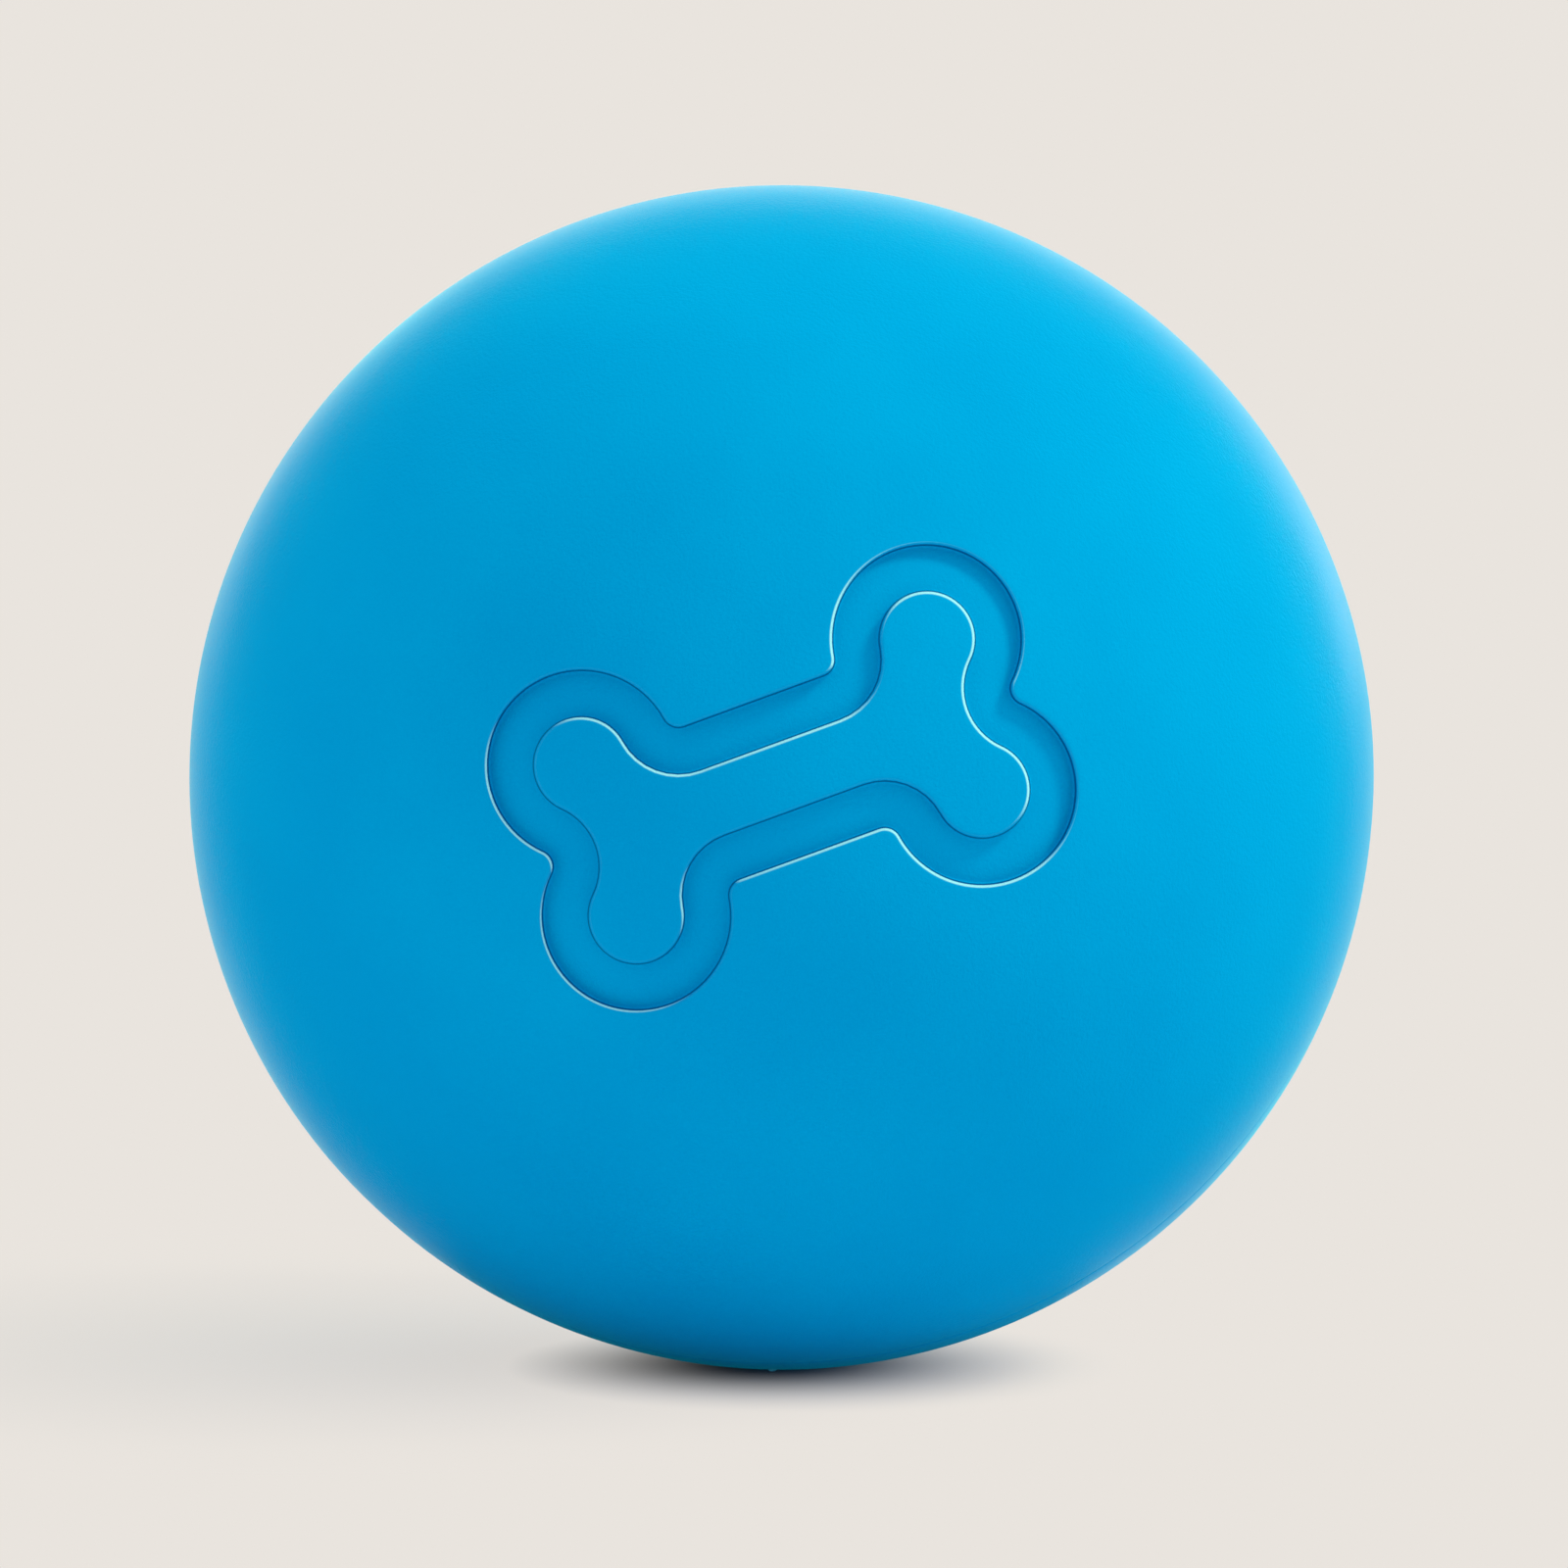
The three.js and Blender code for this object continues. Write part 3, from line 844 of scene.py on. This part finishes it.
cement = revolved("cement_line_ring", [
    (BALL_RADIUS - SEAM_CHAMFER, -half_cement),
    (BALL_RADIUS - CEMENT_SUNK, -half_cement - SEAM_CHAMFER),
    (BALL_RADIUS - CEMENT_HOLLOW, 0, 0.6 * MM),
    (BALL_RADIUS - CEMENT_SUNK - SEAM_STEP, half_cement + SEAM_CHAMFER),
    (BALL_RADIUS - SEAM_CHAMFER - SEAM_STEP, half_cement),
    (tongue_outer + CEMENT, half_cement),
    (tongue_outer + CEMENT, TONGUE_HEIGHT + half_cement),
    (tongue_inner - CEMENT, TONGUE_HEIGHT + half_cement),
    (tongue_inner - CEMENT, half_cement),
    (inner_radius, half_cement),
    (inner_radius, -half_cement),
    (tongue_inner, -half_cement),
    (tongue_inner, TONGUE_HEIGHT - half_cement),
    (tongue_outer, TONGUE_HEIGHT - half_cement),
    (tongue_outer, -half_cement),
], CEMENTED, steps=ROUND_STEPS)
seat(cement, "seam_cement")

# %% [markdown]
# ## Leftovers of the mould
#
# Where the mould closed, a little rubber creeps out and tears when it is trimmed, and torn rubber is
# paler than moulded skin. This ball has one clear nick of that kind, just behind the seam at the
# bottom, and a few grains that a finger can hardly feel. They repeat round the seam with chance
# sizes, which is work for Geometry Nodes: points on a circle, one small grain on each, and a fixed
# seed, so that the ball comes out the same each time.

# %% Build the tree of moulding leftovers
NICK_WAY = Vector((-0.016, -0.148, -0.989)).normalized()
NICK_SUNK = 0.05 * MM
GRAIN_SHAPE = (0.5, 0.6)


def leftovers_tree():
    """Small grains along the seam, and first of all the nick, which has its own place."""
    sizes = {"Float": ["Seam radius", "Nick size", "Grain size"], "Vector": ["Nick place"]}
    tree, given, made = new_tree("seam_leftovers", Int=["Grains", "Seed"], **sizes)
    index = add(tree, "GeometryNodeInputIndex")
    is_nick = math_node(tree, "LESS_THAN", index, 0.5)
    drift = {"Seed": given["Seed"], 2: -0.35, 3: 0.35}
    shift = add(tree, "FunctionNodeRandomValue", drift, out=1, data_type="FLOAT")
    moved = math_node(tree, "DIVIDE", math_node(tree, "ADD", index, shift), given["Grains"])
    whole = math_node(tree, "SUBTRACT", math.tau, times(tree, is_nick, math.tau))
    angle = times(tree, moved, whole)
    below, across = turned(tree, given["Seam radius"], angle)
    on_seam = vector(tree, x=across, z=times(tree, below, -1))
    choice = {0: is_nick, 4: on_seam, 5: given["Nick place"]}
    place = add(tree, "ShaderNodeMix", choice, out=1, data_type="VECTOR")
    points = add(tree, "GeometryNodePoints", {"Count": given["Grains"], "Position": place})
    grain = add(tree, "GeometryNodeMeshIcoSphere", {"Radius": 1.0, "Subdivisions": 3})
    chance = {"Seed": given["Seed"], 2: 0.5, 3: 1.0, "ID": index}
    chance = add(tree, "FunctionNodeRandomValue", chance, out=1, data_type="FLOAT")
    small = times(tree, chance, given["Grain size"])
    size = math_node(tree, "MAXIMUM", small, times(tree, is_nick, given["Nick size"]))
    width, height = (times(tree, size, share) for share in GRAIN_SHAPE)
    inputs = {"Points": points, "Instance": grain}
    inputs |= {"Rotation": vector(tree, y=times(tree, angle, -1))}
    inputs |= {"Scale": vector(tree, size, width, height)}
    grains = add(tree, "GeometryNodeInstanceOnPoints", inputs)
    finish_tree(tree, grains, given, made)
    return tree


leftovers = grow(mesh_object("moulding_leftovers", []), leftovers_tree(), {
    "Seam radius": BALL_RADIUS - 0.12 * MM,
    "Nick size": 0.25 * MM,
    "Grain size": 0.14 * MM,
    "Grains": 11,
    "Seed": 5,
    "Nick place": MOULD.inverted() @ (NICK_WAY * (BALL_RADIUS - NICK_SUNK)),
    "Finish": TORN,
})
seat(leftovers)

# %% [markdown]
# ## The squeaker
#
# The cup and its cap are plain turned shapes with the small rounds of moulded plastic. The cup's
# floor has a socket for the reed, and the cap rests on a step near the cup's open end.

# %% Revolve the cup and the cap
RIM = 0.6 * MM
CUP_WALL = 1.5 * MM
CUP_FLOOR = 1.2 * MM
CAP_THICKNESS = 1.2 * MM
REED_UNIT_RADIUS = 3 * MM
SOCKET_WALL = 1 * MM
PLASTIC_ROUND = 0.2 * MM

cap_radius = SQUEAKER_RADIUS - RIM - PLASTIC_FIT
socket = REED_UNIT_RADIUS + PLASTIC_FIT
seat_height = squeaker_outer - CAP_THICKNESS - PLASTIC_FIT
floor_height = squeaker_inner + CUP_FLOOR

cup = revolved("squeaker_cup_smooth", [
    (socket, squeaker_inner, PLASTIC_ROUND),
    (SQUEAKER_RADIUS, squeaker_inner, 2 * PLASTIC_ROUND),
    (SQUEAKER_RADIUS, squeaker_outer, PLASTIC_ROUND),
    (SQUEAKER_RADIUS - RIM, squeaker_outer, PLASTIC_ROUND),
    (SQUEAKER_RADIUS - RIM, seat_height, PLASTIC_ROUND),
    (SQUEAKER_RADIUS - CUP_WALL, seat_height, PLASTIC_ROUND),
    (SQUEAKER_RADIUS - CUP_WALL, floor_height, 2 * PLASTIC_ROUND),
    (socket + SOCKET_WALL, floor_height, PLASTIC_ROUND),
    (socket + SOCKET_WALL, squeaker_inner + CLAMP_LENGTH, PLASTIC_ROUND),
    (socket, squeaker_inner + CLAMP_LENGTH, PLASTIC_ROUND),
], PLASTIC)
cap = revolved("squeaker_cap_drilled", [
    (0, squeaker_outer - CAP_THICKNESS),
    (cap_radius, squeaker_outer - CAP_THICKNESS, PLASTIC_ROUND),
    (cap_radius, squeaker_outer, PLASTIC_ROUND),
    (0, squeaker_outer),
], PLASTIC, steps=96)
seat(cup, "squeaker_cup")

# %% [markdown]
# ## Holes in the cap
#
# Air leaves through a ring of holes round one in the middle, each with a small countersink. The
# holes are one drill shape set on points, and one boolean cuts them all, so the number of holes and
# their sizes stay plain inputs.

# %% Drill the cap
HOLE_RADIUS = 0.6 * MM
HOLE_EDGE = 0.45 * MM
HOLES_IN_RING = 6
DRILL_SIDES = 40
DRILL_LENGTH = 6 * MM


def drilling_tree():
    """Cuts a ring of holes and one in the middle. The drill's countersink opens at the outer face."""
    lengths = ["Hole radius", "Ring radius", "Outer face", "Sink depth"]
    tree, given, made = new_tree("drill_cap", Float=lengths, Int=["Holes"])
    drill = add(tree, "GeometryNodeMeshCylinder", {
        "Vertices": DRILL_SIDES, "Radius": given["Hole radius"], "Depth": DRILL_LENGTH,
    })
    wide = math_node(tree, "MULTIPLY_ADD", given["Sink depth"], 2, given["Hole radius"])
    sink = add(tree, "GeometryNodeMeshCone", {
        "Vertices": DRILL_SIDES, "Radius Top": wide, "Radius Bottom": given["Hole radius"],
        "Depth": times(tree, given["Sink depth"], 2),
    })
    down = vector(tree, z=times(tree, given["Sink depth"], -1))
    sink = add(tree, "GeometryNodeTransform", {"Geometry": sink, "Translation": down})
    joint = add(tree, "GeometryNodeJoinGeometry")
    for part in (drill, sink):
        tree.links.new(part, joint.node.inputs[0])
    index = add(tree, "GeometryNodeInputIndex")
    angle = math_node(tree, "DIVIDE", times(tree, index, math.tau), given["Holes"])
    in_ring = math_node(tree, "LESS_THAN", index, given["Holes"])
    across, upward = turned(tree, times(tree, given["Ring radius"], in_ring), angle)
    place = vector(tree, across, given["Outer face"], upward)
    count = math_node(tree, "ADD", given["Holes"], 1)
    points = add(tree, "GeometryNodePoints", {"Count": count, "Position": place})
    drills = add(tree, "GeometryNodeInstanceOnPoints", {
        "Points": points, "Instance": joint, "Rotation": (-math.pi / 2, 0, 0),
    })
    real = add(tree, "GeometryNodeRealizeInstances", {"Geometry": drills})
    cut = add(tree, "GeometryNodeMeshBoolean", {
        "Mesh 1": given["Geometry"], "Mesh 2": real, "Self Intersection": True,
    }, operation="DIFFERENCE", solver="EXACT")
    finish_tree(tree, cut, given, made)
    return tree


grow(cap, drilling_tree(), {
    "Hole radius": HOLE_RADIUS,
    "Ring radius": VENT_RADIUS - HOLE_RADIUS - HOLE_EDGE,
    "Outer face": squeaker_outer,
    "Sink depth": 0.12 * MM,
    "Holes": HOLES_IN_RING,
    "Finish": PLASTIC,
})
seat(cap, "squeaker_cap")

# %% [markdown]
# ## The reed
#
# The reed is a strip of brass. Its root lies flat in the clamp, and its free end stands off a little,
# ready to beat. It is cut from a flat outline with round corners at the tip, given its thickness
# with softened edges, and then bent at the clamp's edge, which is where the model's hinge is.

# %% Cut and bend the reed
REED_THICKNESS = 0.2 * MM
REED_WIDTH = 4.2 * MM
REED_FREE = 5.4 * MM
REED_TIP_ROUND = 0.7 * MM
REED_LIFT = math.radians(4.5)
BURR = 0.03 * MM


def reed_outline(inset):
    """The strip's flat outline from its root to its tip, with points where it will bend."""
    half = REED_WIDTH / 2
    outline = round_corners([
        (half, -CLAMP_LENGTH), (half, 0), (half, REED_FREE, REED_TIP_ROUND),
        (-half, REED_FREE, REED_TIP_ROUND), (-half, 0), (-half, -CLAMP_LENGTH),
    ])
    middle = (REED_FREE - CLAMP_LENGTH) / 2
    across, along = (1 - 2 * inset / size for size in (REED_WIDTH, REED_FREE + CLAMP_LENGTH))
    return [(x * across, middle + (y - middle) * along) for x, y in outline]


def reed_strip():
    """A thin strip with softened edges, bent up about the edge of its clamp."""
    half = REED_THICKNESS / 2
    levels = [(BURR, -half), (0, BURR - half), (0, half - BURR), (BURR, half)]
    rings = [[Vector((x, y, z)) for x, y in reed_outline(inset)] for inset, z in levels]
    count = len(rings[0])
    caps = [tuple(range(count)), tuple(range(3 * count, 4 * count))]
    points = [point for ring in rings for point in ring]
    piece = joined("reed_strip", [(points, loft(rings) + caps)], BRASS)
    shape = bmesh.new()
    shape.from_mesh(piece.data)
    everything = [*shape.verts, *shape.edges, *shape.faces]
    bmesh.ops.bisect_plane(shape, geom=everything, plane_co=(0, 0, 0), plane_no=(0, 1, 0))
    free_end = [vert for vert in shape.verts if vert.co.y > 0]
    bmesh.ops.rotate(shape, verts=free_end, cent=(0, 0, 0), matrix=Matrix.Rotation(REED_LIFT, 3, "X"))
    bmesh.ops.translate(shape, verts=shape.verts, vec=(0, hinge_along, 0))
    shape.to_mesh(piece.data)
    shape.free()
    return piece


seat(reed_strip(), "reed_tongue", body="reed")

# %% [markdown]
# ## Pieces that stay as packed
#
# The trough and the clamp have the right shape already: half-round bars with flat faces. They only
# need their plastic.

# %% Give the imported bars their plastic
for name in ("reed_trough", "reed_clamp"):
    bar = frame["nodes"][name].data
    bar.materials.clear()
    bar.materials.append(PLASTIC)
    print(name, "has", bar.materials[0].name)

# %% [markdown]
# ## A pale floor
#
# The ball lies on a wide pale floor that fills the whole picture. What lights the ball is a plain
# matt floor with a faint glow of its own, like a table lit through its top. What the camera sees is
# an even pale colour, which gives way round the ball to a matt floor as it is really lit, so the
# shadow stays. It is strongest where the ball touches the floor, and fades with distance. There a
# darker floor colour adds a painted shadow to the real one. Right under the ball the floor colour
# is painted dark, a painted shade for the light that hardly gets in there, and mirrored rays find
# it painted dark a little farther out, which keeps the pale rim off the ball's underside.

# %% Make the floor
BACKGROUND = (0.815, 0.776, 0.731)
FLOOR_SEEN = (0.64, 0.63, 0.605)
# Painted shadow: a darker floor colour painted where the ball touches the floor
FLOOR_PAINTED_SHADOW = (0.36, 0.35, 0.33)
# Painted shade: a dark floor colour that rays lighting the ball meet right under it
FLOOR_PAINTED_SHADE = (0.08, 0.09, 0.16)
FLOOR_COLOUR = (0.63, 0.64, 0.7)
FLOOR_GLOW = (0.1, 0.1, 0.115)
FLOOR_REACH = 40.0

# Each pool: its middle, core and reach on the floor in millimetres, and its strength
CORE_SHADOW = (-0.5, 0, 2.5, 19.5, 1.0)
WIDE_SHADOW = (-26, 8, 0, 46, 0.27)
# Painted shadow: where the floor seen by the camera is painted darker
CONTACT_SHADE = (-4, -1, 0, 12, 1.0)
# Painted shade: where rays that light the ball see the floor painted dark; the last pool, for mirrored rays
# only, reaches farther
UNDER_SHADE = (-8, 2, 0, 26, 0.9)
MIRRORED_SHADE = (-2, 0, 19, 25, 1.0)


def shadow_pool(tree, place, pool):
    """A soft round pool on the floor, full out to its core and gone at its reach."""
    *sizes, strength = pool
    x, y, core, reach = (size * MM for size in sizes)
    inputs = {0: place, 1: (x, y, -BALL_RADIUS)}
    distance = add(tree, "ShaderNodeVectorMath", inputs, out="Value", operation="DISTANCE")
    return spread(tree, distance, strength, 0.0, core, reach, "SMOOTHSTEP")


def pale_floor():
    """A wide flat floor under the ball. The camera sees its even colour and the ball's shadow, with a
    painted shadow near the contact.
    """
    made = bpy.data.materials.new("pale_floor")
    made.use_nodes = True
    tree = made.node_tree
    tree.nodes.remove(tree.nodes["Principled BSDF"])
    ray = add(tree, "ShaderNodeLightPath").node.outputs
    matt = add(tree, "ShaderNodeBsdfDiffuse", {"Color": (*FLOOR_COLOUR, 1)})
    glow = add(tree, "ShaderNodeEmission", {"Color": (*FLOOR_GLOW, 1)})
    open_floor = add(tree, "ShaderNodeAddShader", {0: matt, 1: glow})
    even = add(tree, "ShaderNodeEmission", {"Color": (*BACKGROUND, 1)})
    place = add(tree, "ShaderNodeTexCoord", out="Object")
    pools = (CORE_SHADOW, WIDE_SHADOW, CONTACT_SHADE, UNDER_SHADE, MIRRORED_SHADE)
    core, wide, contact, under, mirrored = (shadow_pool(tree, place, pool) for pool in pools)
    mirrored = times(tree, mirrored, ray["Is Glossy Ray"])
    under = math_node(tree, "MAXIMUM", under, mirrored)
    # Painted shade: under the ball, lighting rays meet a dark floor colour instead of the open floor
    dark = add(tree, "ShaderNodeBsdfDiffuse", {"Color": (*FLOOR_PAINTED_SHADE, 1)})
    real = add(tree, "ShaderNodeMixShader", {0: under, 1: open_floor, 2: dark})
    # Painted shadow: the camera's floor colour darkens near the contact, on top of the real shadow
    shades = mix_colours(tree, contact, FLOOR_SEEN, FLOOR_PAINTED_SHADOW)
    lit = add(tree, "ShaderNodeBsdfDiffuse", {"Color": shades})
    share = math_node(tree, "MAXIMUM", core, wide)
    seen = add(tree, "ShaderNodeMixShader", {0: share, 1: even, 2: lit})
    both = add(tree, "ShaderNodeMixShader", {0: ray["Is Camera Ray"], 1: real, 2: seen})
    tree.links.new(both, tree.nodes["Material Output"].inputs["Surface"])
    signs = ((-1, -1), (1, -1), (1, 1), (-1, 1))
    corners = [(x * FLOOR_REACH, y * FLOOR_REACH, -BALL_RADIUS) for x, y in signs]
    floor = mesh_object("pale_floor", corners, [(0, 1, 2, 3)])
    floor.data.materials.append(made)
    return floor


print("floor:", pale_floor().name)

# %% [markdown]
# ## Soft light
#
# The light is that of a bright room with one lamp to the upper right. The room's light is the
# world's colour: slightly cool in front, and stronger and warmer behind the ball. The lamp is warm
# too, and it only just grazes the front of the ball, so its right side and the far walls of the
# recess catch it. Camera rays see one even pale colour instead of the room. Mirrored rays see an
# evenly bright room without the lamp, with a softbox overhead, which draws the thin bright lines
# on smooth edges, and a window behind to the right, which strengthens the pale rim on that side.

# %% Light the ball
ROOM_LIGHT = (0.64, 0.64, 0.71)
ROOM_BEHIND = (2.05, 2.05, 1.65)
MIRRORED_ROOM = (1.3, 1.28, 1.25)
# Each mirrored light: its direction, its colour, and the cosines where it starts and is full
SOFTBOX = (Vector((0.5, -0.1, 0.86)), (3, 3, 3), 0.55, 0.9)
WINDOW = (Vector((0.64, 0.76, 0.08)), (3.4, 3.4, 3.4), 0.93, 0.985)
KEY_WAY = Vector((0.66, -0.12, 0.74))
KEY_DISTANCE = 1.2
KEY_WATTS = 6.5
KEY_SIZE = 0.3
KEY_COLOUR = (1.0, 0.98, 0.7)


def room_light():
    """World light that grows towards the back, behind an even background colour."""
    world = bpy.data.worlds.new("soft_room")
    bpy.context.scene.world = world
    world.use_nodes = True
    tree = world.node_tree
    way = add(tree, "ShaderNodeTexCoord", out="Generated")
    behind = math_node(tree, "MAXIMUM", dot(tree, way, Vector((0, 1, 0))), 0.0)
    room_colour = mix_colours(tree, behind, ROOM_LIGHT, ROOM_BEHIND)
    room = add(tree, "ShaderNodeBackground", {"Color": room_colour})
    ray = add(tree, "ShaderNodeLightPath").node.outputs
    mirrored = MIRRORED_ROOM
    for toward, colour, start, full in (SOFTBOX, WINDOW):
        glow = spread(tree, dot(tree, way, toward), 0, 1, start, full)
        mirrored = mix_colours(tree, glow, mirrored, colour)
    pale = mix_colours(tree, ray["Is Glossy Ray"], BACKGROUND, mirrored)
    even = add(tree, "ShaderNodeBackground", {"Color": pale})
    seen = math_node(tree, "MAXIMUM", ray["Is Camera Ray"], ray["Is Glossy Ray"])
    seen = math_node(tree, "MAXIMUM", seen, ray["Is Transmission Ray"])
    both = add(tree, "ShaderNodeMixShader", {0: seen, 1: room, 2: even})
    tree.links.new(both, tree.nodes["World Output"].inputs["Surface"])


def key_lamp():
    """A soft lamp to the upper right."""
    lamp = bpy.data.lights.new("key_lamp", "AREA")
    lamp.shape = "DISK"
    lamp.size = KEY_SIZE
    lamp.energy = KEY_WATTS
    lamp.color = KEY_COLOUR
    holder = new_object("key_lamp", lamp)
    holder.visible_glossy = False
    holder.location = KEY_WAY.normalized() * KEY_DISTANCE
    holder.rotation_euler = KEY_WAY.to_track_quat("Z", "Y").to_euler()


room_light()
key_lamp()
print("room light and key lamp are set")

# %% [markdown]
# ## The camera
#
# A long lens from half a metre away, five degrees above the ball, gives the same flat perspective as
# the photograph. It aims a hair below and to the right of the ball's middle.

# %% Set the camera
CAMERA_DISTANCE = 0.525
CAMERA_UP = math.radians(5)
CAMERA_LENS = 222.7
AIM = Vector((0.125 * MM, 0, -0.354 * MM))

camera = bpy.data.cameras.new("camera")
camera.lens = CAMERA_LENS
camera.clip_end = 4 * FLOOR_REACH
view_from = new_object("camera", camera)
view_from.location = Vector((0, -math.cos(CAMERA_UP), math.sin(CAMERA_UP))) * CAMERA_DISTANCE
view_from.rotation_euler = (AIM - view_from.location).to_track_quat("-Z", "Y").to_euler()
bpy.context.scene.camera = view_from
bpy.context.scene.view_settings.view_transform = "Standard"
print("camera at", [round(value, 3) for value in view_from.location])
